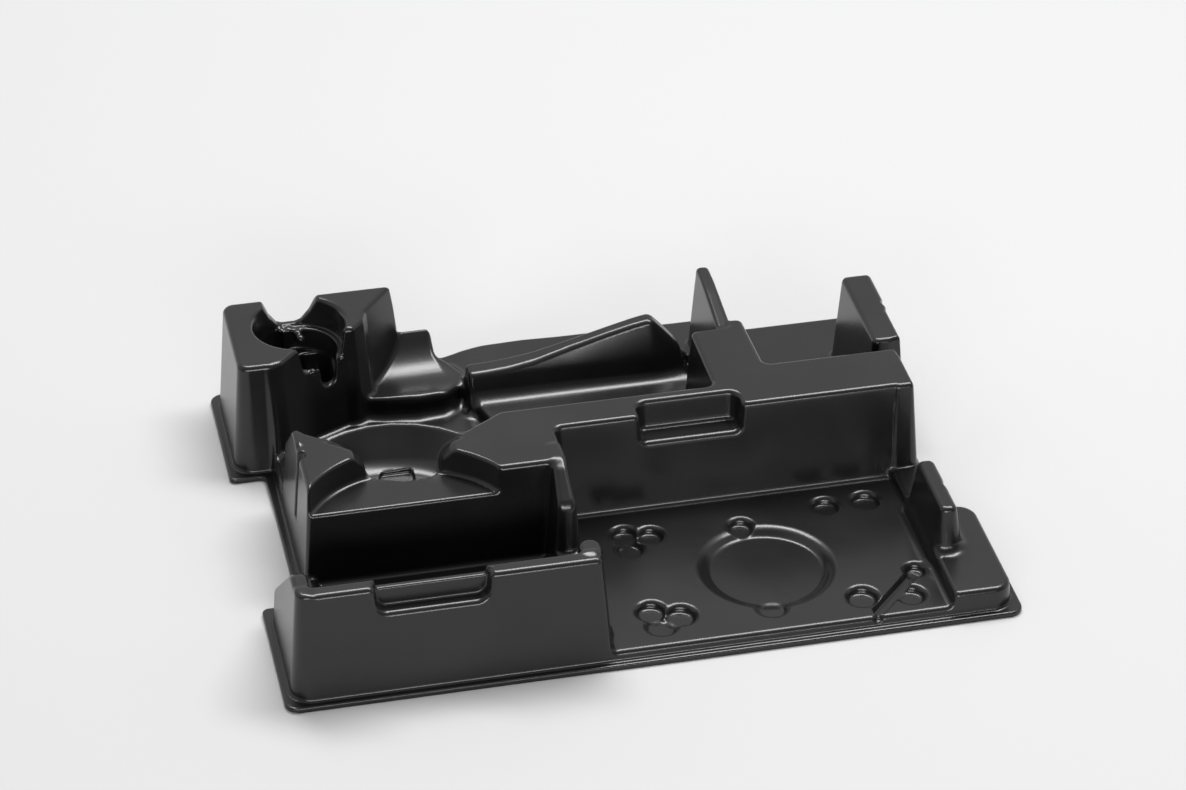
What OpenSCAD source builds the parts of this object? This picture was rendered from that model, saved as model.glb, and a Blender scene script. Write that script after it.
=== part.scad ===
// Tool case insert: one thin sheet, vacuum formed into seats and trays, open underneath.
// Millimetres. Z is up, the front is towards -Y, the origin is the centre of the bottom plane.

/* [Sheet] */

// Thickness of the formed sheet
wall = 2; // [1.6:0.1:2.4]
// Width over the rim, left to right
rim_width = 380; // [376:1:384]
// Depth over the rim, front to back
rim_depth = 284; // [281:1:287]
// Thickness of the flat rim
rim_thick = 3; // [2.5:0.1:3.5]
// Corner radius of the rim
rim_corner = 7; // [5:0.5:9]
// Free width of the rim outside the walls
rim_lip = 4; // [3:0.25:5]
// Draft of the walls, sideways per height
draft = 0.08; // [0.06:0.005:0.1]

/* [Heights] */

// Height of the low trays and the tool well floor
floor_height = 8; // [7.5:0.25:9]
// Height of the main shoulders
shoulder_height = 64; // [61:0.5:67]
// Height of the two back posts
post_height = 67; // [65:0.5:70]
// Height of the side ledge at the right
ledge_height = 15.7; // [14:0.25:17]
// Height of the tool channel floor
channel_height = 15; // [13:0.25:16]
// Height of the back right block
block_height = 60; // [57:0.5:61]
// Height of the tapered rib on the side ledge
rib_height = 41; // [37:0.5:45]

/* [Rounding] */

// Radius along the upper edges
edge_round = 1.8; // [1.2:0.1:2.2]
// Radius of the hollow at the foot of the walls
foot_round = 2.4; // [1.5:0.1:3]
// Usual radius of the upright corners
corner_round = 5; // [4:0.25:6]

/* [Side notches] */

// Depth of the left notch in the rim
left_notch = 19; // [17:0.5:21]
// Depth of the right notch in the rim
right_notch = 15.5; // [14:0.5:17]
// Front end of both notches
notch_front = -57; // [-60:0.5:-55]
// Back end of both notches
notch_back = 58.5; // [56:0.5:60]

/* [Accessory box] */

// Thickness of the front wall at its top
front_wall = 9.6; // [8:0.2:11]
// Right end of the accessory box at its top
box_right = -28.4; // [-30:0.2:-27]
// Thickness of the side wall at its top
side_wall = 8.1; // [7:0.1:9]
// Lowest height of the side wall, at its back end
side_low = 18; // [16:0.5:20]
// Left end of the finger scoop
scoop_left = -142.5; // [-146:0.5:-138]
// Right end of the finger scoop
scoop_right = -84.5; // [-90:0.5:-82]
// Floor height of the finger scoop
scoop_floor = 48.5; // [46:0.5:52]
// Width of the divider towards the tray
divider_width = 7.6; // [6.6:0.2:8.6]
// Height of the low saddle between box and tray
saddle_height = 22; // [20:0.5:26]

/* [Disc seats] */

// Radius of the upright disc seat
disc_radius = 57.3; // [56:0.1:58.5]
// Floor height of the upright disc seat
disc_floor = 49; // [48:0.25:51]
// Floor height of the dished seat
dish_floor = 47; // [46:0.25:47.5]
// Radius of the small round in the dished seat
hub_radius = 9.5; // [8.5:0.1:10.5]
// Radius of the crest behind the dished seat
crest_radius = 58.6; // [57.5:0.1:60]

/* [Front tray] */

// Radius of the round recess at its rim
recess_radius = 34.5; // [33:0.25:36]
// Radius of the flat floor of the round recess
recess_flat = 29.4; // [27:0.2:30]
// Depth of the round recess and of the small round pockets
recess_depth = 4; // [3:0.2:4.4]

/* [Gear seat] */

// Radius of the round gear seat between the back posts
gear_radius = 24.8; // [24:0.1:25.4]
// Floor height of the round gear seat
gear_floor = 38; // [34:0.5:42]
// Height of the back rim between the two posts
gear_back = 51; // [48:0.5:54]

/* [Grip recess] */

// Left end of the grip recess in the shoulder
grip_left = 17; // [14:0.5:20]
// Right end of the grip recess in the shoulder
grip_right = 72; // [69:0.5:75]
// Floor height of the grip recess
grip_floor = 47.5; // [45:0.5:50]

/* [Hidden] */

foot_x = rim_width / 2 - rim_lip;
foot_y = rim_depth / 2 - rim_lip;
lean = inset(shoulder_height);
post_lean = inset(post_height);
left_in = -rim_width / 2 + left_notch + 4.5;
right_in = rim_width / 2 - right_notch - 4;
notch_a = notch_front - rim_lip;
notch_b = notch_back + rim_lip;

// How far the outer walls lean in at a height
function inset(z) = draft * (z - rim_thick);

// Unit outward normal of the edge from a to b of an outline that runs anticlockwise
function normal(a, b) = [b[1] - a[1], a[0] - b[0]] / norm([b[0] - a[0], b[1] - a[1]]);

// Point at a distance and an angle
function polar(r, a) = [r * cos(a), r * sin(a)];

// Rounded corners of an outline of [x, y, r], moved outwards by d
function ring(o, d, segs) = [
    for (i = [0:len(o) - 1])
        let (
            p = o[(i + len(o) - 1) % len(o)], v = o[i], q = o[(i + 1) % len(o)],
            n1 = normal(p, v), n2 = normal(v, q),
            m = (n1 + n2) / (1 + n1 * n2),
            turn = atan2(n1[0] * n2[1] - n1[1] * n2[0], n1 * n2),
            s = sign(turn),
            c = [v[0], v[1]] + (d - s * v[2]) * m,
            a = atan2(n1[1], n1[0])
        )
        for (k = [0:segs]) c + s * polar(v[2], a + turn * k / segs)
];

// Solid through the rounded outline at a row of levels [z, d]
module loft(o, levels, segs = 3) {
    rings = [for (l = levels) [for (p = ring(o, l[1], segs)) [p[0], p[1], l[0]]]];
    n = len(rings[0]);
    m = len(rings);
    polyhedron(
        points = [for (r = rings) each r],
        faces = concat(
            [[for (i = [0:n - 1]) i]],
            [for (j = [0:m - 2]) for (i = [0:n - 1])
                [j * n + i, (j + 1) * n + i, (j + 1) * n + (i + 1) % n, j * n + (i + 1) % n]],
            [[for (i = [n - 1:-1:0]) (m - 1) * n + i]]
        ),
        convexity = 8
    );
}

// True where an outline turns one way only
function is_convex(o) = min([
    for (i = [0:len(o) - 1])
        let (a = o[i], b = o[(i + 1) % len(o)], c = o[(i + 2) % len(o)])
        (b[0] - a[0]) * (c[1] - b[1]) - (b[1] - a[1]) * (c[0] - b[0])
]) > 0;

// Raised block: outline at its top, drafted sides, round top edge, hollow foot; k is the inset of the skin
module block(o, top, k, foot = 0, lean = draft, soft = edge_round) {
    e = max(soft - k, 0.6);
    t = top - k;
    f = foot_round + k;
    low = foot - k;
    bottom = k > 0 ? -1 : 0;
    turns = k > 0 ? [0, 90] : [0, 45, 90];
    rise = [for (a = turns) [t - e * (1 - sin(a)), lean * e * (1 - sin(a)) - e * (1 - cos(a)) - k]];
    hollow = [for (a = turns) [low + f * (1 - cos(a)), lean * (t - low - f * (1 - cos(a))) + f * (1 - sin(a)) - k]];
    wide = foot > 0
        ? concat([[bottom, lean * (t - low) + f - k]], hollow)
        : [[bottom, lean * (t - bottom) - k]];
    if (foot == 0 && is_convex(o))
        hull()
            loft(o, concat(wide, rise), k > 0 ? 2 : 3);
    else
        loft(o, concat(wide, rise), k > 0 ? 2 : 3);
}

// Pocket: outline at its top, drafted sides, round floor edge, round rim; k is the growth of the skin
module pocket(o, top, floor, k, lean = draft, soft = 2, rim = edge_round) {
    f = min(soft + k, (top - floor) * 0.6);
    low = floor - k;
    e = max(rim - k, 0.6);
    t = top - k;
    turns = k > 0 && soft < 3 ? [0, 90] : [0, 45, 90];
    sides = [for (a = turns)
        [low + f * (1 - cos(a)), -lean * (t - low - f * (1 - cos(a))) - f * (1 - sin(a)) + k]];
    edge = [for (a = turns) [t - e * (1 - sin(a)), -lean * e * (1 - sin(a)) + e * (1 - cos(a)) + k]];
    loft(o, concat(sides, edge, [[t + 4, e + k]]), k > 0 ? 2 : 3);
}

// Round pocket with sloping side
module dimple(c, r, top, floor, k, lean = 0.25, n = 16) {
    low = floor - k;
    t = top - k;
    e = 1.2 - k / 3;
    translate([c[0], c[1], 0])
        rotate_extrude($fn = k > 0 ? n * 0.75 : n)
            polygon(k > 0
                ? [[0, low], [r - lean * (t - low) + k - 0.6, low], [r - lean * e + k, t - e], [r + e + k, t],
                   [r + e + k, t + 4], [0, t + 4]]
                : [[0, low], [r - lean * (t - low) - 0.8, low], [r - lean * (t - low), low + 0.8],
                   [r - lean * e, t - e], [r + e, t], [r + e, t + 4], [0, t + 4]]);
}

// Everything under a sloping line in the upright plane that runs front to back, lowered by k
module below(a, b, k) {
    d = (b - a) / norm(b - a);
    n = [-d[1], d[0]] * (d[0] > 0 ? 1 : -1);
    p = a - n * k - d * 200;
    q = b - n * k + d * 200;
    rotate([90, 0, 90])
        translate([0, 0, -250])
            linear_extrude(500)
                polygon([p, q, q - n * 400, p - n * 400]);
}

function arc_points(c, r, a, b, n, s) = [for (i = [0:n]) concat(c + polar(r, a + (b - a) * i / n), [s])];

crest_centre = [-118, -52];
disc_centre = [-112.5, -74];
hub_centre = [-111.8, -18.3];
gear_centre = [-143, 106];
recess_centre = [69, -82.8];
bar_front = -16;
bar_back = 19;
box_back = -45.5;
crest_top = arc_points(crest_centre, crest_radius + 1, 45, 119, 6, 3);

shoulder = concat(
    [[165, bar_front, corner_round], [165, bar_back, 4], [92.5, bar_back, corner_round],
     [91.2, 64, 3.4], [84.5, 64.6, 2.4], [82.6, 58.6, 2.4], [61.8, 57.5, 3],
     [61.8, 5, corner_round], [-53, 5, 6]],
    crest_top,
    [[-160.5, 11.5, 4], [left_in + lean, 3, 6], [left_in + lean, box_back, corner_round],
     [box_right, box_back, 3], [box_right, bar_front, 4]]
);

base_outline = [
    [foot_x, -foot_y, 6], [foot_x, notch_a, 4], [right_in, notch_a, 4], [right_in, notch_b, 4],
    [foot_x, notch_b, 4], [foot_x, foot_y, 6], [-foot_x, foot_y, 6], [-foot_x, notch_b, 4],
    [left_in, notch_b, 4], [left_in, notch_a, 4], [-foot_x, notch_a, 4], [-foot_x, -foot_y, 6]
];

rim_outline = [
    [rim_width / 2, -rim_depth / 2, rim_corner], [rim_width / 2, notch_front, 3.5],
    [rim_width / 2 - right_notch, notch_front, 3.5], [rim_width / 2 - right_notch, notch_back, 3.5],
    [rim_width / 2, notch_back, 3.5], [rim_width / 2, rim_depth / 2, rim_corner],
    [-rim_width / 2, rim_depth / 2, rim_corner], [-rim_width / 2, notch_back, 3.5],
    [-rim_width / 2 + left_notch, notch_back, 3.5], [-rim_width / 2 + left_notch, notch_front, 3.5],
    [-rim_width / 2, notch_front, 3.5], [-rim_width / 2, -rim_depth / 2, rim_corner]
];

function box(x0, y0, x1, y1, r) = [[x1, y0, r], [x1, y1, r], [x0, y1, r], [x0, y0, r]];

// Low body that everything stands on
module base(k) {
    e = max(edge_round - k, 0.6);
    t = floor_height - k;
    loft(base_outline, [
        [k > 0 ? -1 : 0, draft * rim_thick - k],
        [t - e, -inset(t - e) - k],
        [t - e * 0.29, -inset(t - e) - e * 0.29 - k],
        [t, -inset(t - e) - e - k]
    ], k > 0 ? 2 : 3);
}

// Room within the outer walls, a hair wider than the blocks that touch them
module envelope(k) {
    loft(base_outline, [[-2, 0.03 + draft * (rim_thick + 2) - k], [90, 0.03 - inset(90) - k]], k > 0 ? 2 : 3);
}

// Shoulder with the hook to the back and the block of the disc seats
module shoulders(k) {
    block(shoulder, shoulder_height, k, foot = floor_height);
    block(box(154, bar_front - 1, 165.8, 14, 3), shoulder_height, k);
    intersection() {
        block(box(left_in, -4, -157.4, 27, 2), shoulder_height, k);
        below([10, shoulder_height], [28, 46], k);
    }
    block(box(left_in + 1, 10, -157.4, notch_b + 6, 3), 13, k);
}

// Walls round the accessory box
module box_walls(k) {
    front = -foot_y + lean;
    left = -foot_x + lean;
    top = shoulder_height - 0.5;
    block(box(left, front, box_right, front + front_wall, 4), top, k);
    intersection() {
        block(box(left, front, left + side_wall, notch_a - lean, 3.5), top, k);
        below([-112, shoulder_height], [-62, side_low], k);
    }
    block([[-foot_x + 1.2, notch_a - 1.2, 3], [-foot_x + 1.2, -71, 3], [left_in + 10, -71, 4],
           [left_in + 10, -38, 4], [left_in + 1.2, -38, 4], [left_in + 1.2, notch_a - 1.2, 3]],
          side_low, k);
    intersection() {
        block(box(box_right - divider_width, -66, box_right, -30, 2.6), shoulder_height, k);
        below([-66, 50.5], [-47, shoulder_height], k);
    }
    block(box(box_right - divider_width - 2.5, -125, box_right + 3, -56, 3), saddle_height, k, foot = floor_height);
    block(box(-37.5, -126, -26.6, -113.5, 5.4), top, k);
}

// Ledge at the right with its tapered rib
module side_ledge(k) {
    edge = inset(ledge_height);
    block(box(153.5, edge - foot_y, foot_x - edge, notch_a - edge, 4), ledge_height, k, foot = floor_height);
    block(box(153.5, -70, right_in - 0.9, 0, 4), ledge_height - 2, k);
    block(box(156.5, -98.4, 165.4, -53, 3.6), rib_height, k, lean = 0.15);
}

// Block and fin beside the back right bin
module back_blocks(k) {
    intersection() {
        block(box(157, 8, 170.5, foot_y - 4.2, 4), block_height, k, foot = floor_height);
        below([97, block_height], [foot_y, floor_height - 4], k);
    }
    intersection() {
        block(box(77.6, 40, 84.4, foot_y - 5.2, 2.6), post_height + 1, k);
        below([60, shoulder_height], [112, post_height + 1], k);
        below([112, post_height + 1], [foot_y - 2, 14], k);
    }
}

// Height of the wavy ridge along its length
function wave(x) = lookup(x, [[-53, 27.5], [-42, 28.3], [-30, 29.2], [-15, 31.4], [0, 34.6], [25, 41.6], [44, 46.2], [51, 46.4], [57, 41], [66, 29], [72, 19]]);

ridge_stations = [-53, -42, -30, -15, 0, 12, 25, 35, 44, 48, 51, 57, 66, 72];

function ridge_line(x, k) = let (
        z = wave(x) - k, e = edge_round, floor = channel_height - k, end = k > 0 ? -1 : 0,
        slope = (94.4 - 88) / (wave(-53) - channel_height), y = 88 + k * 1.1 + slope * (z - floor)
    )
    [[85.6 + k, end], [85.6 + k, floor], [88 + k * 1.1 + slope * 2.4, floor + 2.4], [y - slope * e, z - e],
     [y + 0.2, z - e * 0.3], [y + e, z], [max(y + 7.4 - k, 101.4), z], [114, z * 0.6 + (18.8 - k) * 0.4],
     [foot_y + 2, 17.6 - k], [foot_y + 2, end]];

// Wavy ridge behind the tool channel, with its slope to the back rim
module ridge(k) {
    xs = [for (x = ridge_stations) x < 0 ? x + k : x - k];
    pts = [for (x = xs) [for (p = ridge_line(x, k)) [x, p[0], p[1]]]];
    n = len(pts[0]);
    m = len(pts);
    polyhedron(
        points = [for (r = pts) each r],
        faces = concat(
            [[for (i = [n - 1:-1:0]) i]],
            [for (j = [0:m - 2]) for (i = [0:n - 1]) for (t = [0, 1])
                t == 0
                    ? [j * n + i, j * n + (i + 1) % n, (j + 1) * n + (i + 1) % n]
                    : [j * n + i, (j + 1) * n + (i + 1) % n, (j + 1) * n + i]],
            [[for (i = [0:n - 1]) (m - 1) * n + i]]
        ),
        convexity = 6
    );
}

// Channel floor and the shelf behind it
module channel(k) {
    block([[86, -6, 4], [86, 104, 4], [-52, 104, 4], [-52, 88, 4], [-47, 70, 6], [-38, -6, 6]], channel_height, k);
    block(box(56, 96, 90, foot_y - 1.3, 4), 18.5, k);
    block(box(-70, 104, -44, foot_y - 0.9, 3), 12.7, k);
}

// Posts and gear seat at the back left
module posts(k) {
    back = foot_y - post_lean;
    left = -foot_x + post_lean;
    block([[left, back, 6], [left, notch_b + post_lean, 4], [-164, notch_b + post_lean, 3], [-158, 69.5, 4],
           [-145, 83, 8], [-121, 94.4, 3], [-115.6, 94.2, 3], [-108.6, 102, 3], [-106.2, 110.2, 4],
           [-88, back, 3]], post_height, k);
}

// Chute beside the back posts
module chute(k) {
    intersection() {
        block([[-67.4, 108, 3], [-67.4, foot_y - 2.6, 3], [-112, foot_y - 2.6, 3], [-112, 108, 3]], 36, k);
        translate([-150, 0, 0])
            rotate([90, 0, 90])
                linear_extrude(120)
                    difference() {
                        translate([90, -2])
                            square([60, 60]);
                        translate([105, 55.5])
                            circle(r = 35.5 + k, $fn = k > 0 ? 32 : 56);
                    }
    }
    block([[-58, 99, 4], [-54, 108, 4], [-60, 116, 4], [-112, 122, 4], [-114, 104, 5], [-99, 92.5, 9], [-82, 88.5, 12], [-66, 91.5, 9]], 20.4, k);
}

// Sunk seats for discs, gear, grip and small parts
module sunk(k) {
    intersection() {
        translate([disc_centre[0], disc_centre[1], 0])
            rotate_extrude($fn = k > 0 ? 48 : 64)
                polygon([
                [0, disc_floor - k], [disc_radius - 3.4 + k, disc_floor - k], [disc_radius - 2.2 + k, disc_floor + 1.2 - k],
                [disc_radius - 0.8 + k, shoulder_height - 1.4 - k], [disc_radius - 0.3 + k, shoulder_height - 0.4 - k],
                [disc_radius + 0.7 + k, shoulder_height - k], [disc_radius + 0.7 + k, shoulder_height + 4], [0, shoulder_height + 4]
                ]);
        translate([-200, -62, 0])
            cube([200, 100, 100]);
    }
    pocket(concat(
            [[-92.2, -60, 3], [-91.6, -33, 4], [-85.4, -24.5, 5]],
            arc_points(crest_centre, crest_radius - 1, 47, 117, 6, 3),
            [[-134.6, -13.6, 5], [-128.8, -31, 4], [-128.2, -60, 3]]),
        shoulder_height, dish_floor, k, lean = 0.12, soft = 6);
    dimple(hub_centre, hub_radius, dish_floor, dish_floor - 2, k);
    pocket(box(scoop_left, -150, scoop_right, -128, 2.4), shoulder_height - 0.5, scoop_floor, k, soft = 3);
    pocket(box(scoop_left + 1, -136, scoop_right - 1, -110, 2), shoulder_height + 1, 58.5, k, soft = 1, rim = 0.5);
    pocket(box(grip_left, -30, grip_right, -2.8, 6), shoulder_height, grip_floor, k, soft = 2.6);
    translate([left_in + 1.4, -12.5, 26 - k])
        cylinder(h = 44, r1 = 0.8 + k, r2 = 4.4 + k, $fn = 16);
    dimple(gear_centre, gear_radius, post_height, gear_floor, k, lean = draft, n = 40);
    pocket(box(-144.2, 66, -124.4, 106, 3), post_height, gear_floor - 1, k, soft = 4);
    pocket(box(-143, 94, -125, 116, 8), gear_floor + 2, 16, k, soft = 4);
    rotate([90, 0, 0])
        translate([0, 0, -160])
            linear_extrude(160 - 116)
                offset(delta = k)
                    polygon([[-163, 80], [-159.5, 67], [-156, 58], [-152, gear_back + 1.2], [-149, gear_back], [-142, gear_back],
                             [-138.6, gear_back + 1.2], [-134, 58], [-129.4, 67], [-126, 80]]);
    tray_pockets(k);
}

module tray_pockets(k) {
    low = floor_height - recess_depth;
    translate([recess_centre[0], recess_centre[1], 0])
        rotate_extrude($fn = k > 0 ? 40 : 56)
            polygon([
                [0, low - k], [recess_flat + k, low - k], [recess_flat + 1.2 + k, low + 0.5 - k],
                [recess_radius - 1.6 + k, floor_height - 0.7 - k], [recess_radius + k, floor_height - k],
                [recess_radius + k, floor_height + 3], [0, floor_height + 3]
            ]);
    for (c = [[4.5, -45.5, 8.6], [16, -45, 6.8], [2.2, -107.3, 7.4], [16, -113.7, 7.8], [4.8, -119.8, 7.8],
              [112.4, -38, 7], [134.3, -37.8, 7.4], [110.3, -118.3, 7.8], [135.2, -122, 7], [64.4, -46, 6.4],
              [63.2, -116.8, 7.6]])
        dimple(c, c[2], floor_height, low, k);
    pocket([[112.6, -134.4, 1.2], [117.4, -134.4, 1.2], [146.2, -103.6, 1.2], [142, -98.8, 1.2], [112.6, -129.4, 1.2]],
        floor_height, low, k, soft = 1, rim = 0.9);
    dimple([143, -102], 5.2, floor_height, low, k);
}

// Whole form with its skin moved inwards by k
module form(k) {
    difference() {
        union() {
            base(k);
            intersection() {
                union() {
                    shoulders(k);
                    box_walls(k);
                    side_ledge(k);
                    back_blocks(k);
                    ridge(k);
                    channel(k);
                    posts(k);
                    chute(k);
                }
                envelope(k);
            }
        }
        sunk(k);
    }
}

module insert() {
    color([0.07, 0.07, 0.075])
        difference() {
            union() {
                loft(rim_outline, [[0, 0], [rim_thick - 1, 0], [rim_thick - 0.3, -0.3], [rim_thick, -1]]);
                form(0);
            }
            form(wall);
        }
}

insert();
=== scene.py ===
import math
import time
import bpy
import numpy as np
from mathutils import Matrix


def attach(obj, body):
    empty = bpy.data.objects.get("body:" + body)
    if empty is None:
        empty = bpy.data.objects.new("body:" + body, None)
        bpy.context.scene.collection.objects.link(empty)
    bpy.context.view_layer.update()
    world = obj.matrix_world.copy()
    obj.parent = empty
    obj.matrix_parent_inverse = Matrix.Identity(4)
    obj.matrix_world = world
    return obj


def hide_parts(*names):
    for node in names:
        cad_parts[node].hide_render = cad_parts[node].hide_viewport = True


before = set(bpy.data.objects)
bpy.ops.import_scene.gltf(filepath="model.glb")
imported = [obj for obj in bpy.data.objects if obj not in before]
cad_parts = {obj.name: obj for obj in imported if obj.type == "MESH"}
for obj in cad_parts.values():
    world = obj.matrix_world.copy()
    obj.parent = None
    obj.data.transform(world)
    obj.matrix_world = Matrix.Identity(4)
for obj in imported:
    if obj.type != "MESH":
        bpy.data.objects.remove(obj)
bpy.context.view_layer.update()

clock = time.time()
scene = bpy.context.scene


def stage(text):
    print("stage", text, round(time.time() - clock, 1), "s")


# Camera, placed as the photograph was taken; angles in degrees
camera = {"place": (-0.3621, -1.6364, 1.2038), "down": 34.093, "turn": -12.329, "lens": 117.96, "sensor": 36}

eye = bpy.data.objects.new("eye", bpy.data.cameras.new("eye"))
scene.collection.objects.link(eye)
eye.location = camera["place"]
eye.rotation_euler = (math.radians(90 - camera["down"]), 0, math.radians(camera["turn"]))
eye.data.sensor_width = camera["sensor"]
eye.data.lens = camera["lens"]
eye.data.clip_start = 0.05
eye.data.dof.use_dof = False
scene.camera = eye


# Distance fields: negative inside, in millimetres until the mesh is made

def roundUnion(a, b, r):
    # both bodies together, with the corner between them filled by a quarter circle of radius r
    return np.maximum(r, np.minimum(a, b)) - np.hypot(np.maximum(r - a, 0), np.maximum(r - b, 0))


def roundMeet(a, b, r):
    # what both bodies share, with its edge rounded by a quarter circle of radius r
    return np.minimum(-r, np.maximum(a, b)) + np.hypot(np.maximum(r + a, 0), np.maximum(r + b, 0))


def outlineDistance(corners, x, y):
    # distance in plan to an anticlockwise outline of corners (x, y, radius): the nearest of its straight
    # parts and of the arcs that round its corners
    c = np.array(corners, float)
    before, after = c - np.roll(c, 1, 0), np.roll(c, -1, 0) - c
    dirIn = before[:, :2] / np.hypot(before[:, 0], before[:, 1])[:, None]
    dirOut = after[:, :2] / np.hypot(after[:, 0], after[:, 1])[:, None]
    turn = np.arctan2(dirIn[:, 0] * dirOut[:, 1] - dirIn[:, 1] * dirOut[:, 0], (dirIn * dirOut).sum(1))
    # each arc takes radius times the tangent of half the turn from both straight parts
    cut = (c[:, 2] * np.tan(abs(turn) / 2))[:, None]
    first, last = c[:, :2] - dirIn * cut, c[:, :2] + dirOut * cut
    side = np.sign(turn)
    centre = first + np.stack([-dirIn[:, 1], dirIn[:, 0]], 1) * (c[:, 2] * side)[:, None]
    farAway, tiny, straight = 1e6, 1e-6, 1e-3
    best = np.full(np.broadcast(x, y).shape, farAway, dtype=np.result_type(x, y))
    for i in range(len(c)):
        j = (i + 1) % len(c)
        ex, ey = first[j] - last[i]
        length = math.hypot(ex, ey)
        if length > tiny:
            ex, ey = ex / length, ey / length
            qx, qy = x - last[i, 0], y - last[i, 1]
            along = np.clip(qx * ex + qy * ey, 0, length)
            far = np.hypot(qx - along * ex, qy - along * ey)
            value = np.where(ex * qy - ey * qx > 0, -far, far)
            best = np.where(abs(value) < abs(best), value, best)
        if c[i, 2] > 0 and abs(turn[i]) > straight:
            wx, wy = x - centre[i, 0], y - centre[i, 1]
            far = np.hypot(wx, wy)
            mx, my = c[i, :2] - centre[i]
            within = wx * mx + wy * my >= far * math.hypot(mx, my) * math.cos(abs(turn[i]) / 2)
            value = side[i] * (far - c[i, 2])
            best = np.where(within & (abs(value) < abs(best)), value, best)
    return best


class Field:
    # Distance values on a grid or at loose points, changed shape by shape in the box that each shape reaches
    def __init__(self, x, y, z, grid):
        self.x, self.y, self.z, self.grid = x, y, z, grid
        self.value = np.broadcast_to(z, np.broadcast(x, y, z).shape).copy()

    def near(self, box):
        x0, y0, x1, y1 = box
        if self.grid:
            i = slice(*np.searchsorted(self.x.ravel(), (x0, x1)))
            j = slice(*np.searchsorted(self.y.ravel(), (y0, y1)))
            return (i, j), self.x[i], self.y[:, j], self.z
        k = np.nonzero((self.x > x0) & (self.x < x1) & (self.y > y0) & (self.y < y1))[0]
        return k, self.x[k], self.y[k], self.z[k]

    def apply(self, box, change):
        k, x, y, z = self.near(box)
        if self.value[k].size:
            self.value[k] = change(self.value[k], x, y, z)


def boxOf(corners, room):
    # the box round an outline, with room on all sides
    c = np.array(corners, float)
    return c[:, 0].min() - room, c[:, 1].min() - room, c[:, 0].max() + room, c[:, 1].max() + room


def rect(x0, y0, x1, y1, r):
    return [(x1, y0, r), (x1, y1, r), (x0, y1, r), (x0, y0, r)]


def arc(cx, cy, r, start, end, steps, soft):
    # corners along a circle, from one angle to the other
    out = []
    for i in range(steps + 1):
        a = math.radians(start + (end - start) * i / steps)
        out.append((cx + r * math.cos(a), cy + r * math.sin(a), soft))
    return out


def belowLine(a, b):
    # distance to what lies below a line that slopes from front to back, through two points (y, z)
    dy, dz = b[0] - a[0], b[1] - a[1]
    length = math.hypot(dy, dz)
    side = 1 if dy > 0 else -1
    return lambda x, y, z: ((y - a[0]) * -dz + (z - a[1]) * dy) / length * side


def easedCurve(knots, width):
    # straight lines through the knots, averaged with a bell curve about as wide as the given width;
    # gives places, heights and slopes
    spacing, reach = 0.5, 24
    across, high = np.array(knots, float).T
    places = np.arange(across[0], across[-1] + spacing / 2, spacing)
    bell = np.exp(-0.5 * (np.arange(-reach, reach + 1) * spacing / (width / 2)) ** 2)
    padded = np.pad(np.interp(places, across, high), reach, mode="edge")
    eased = np.convolve(padded, bell / bell.sum(), mode="valid")
    return places, eased, np.gradient(eased, spacing)


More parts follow.
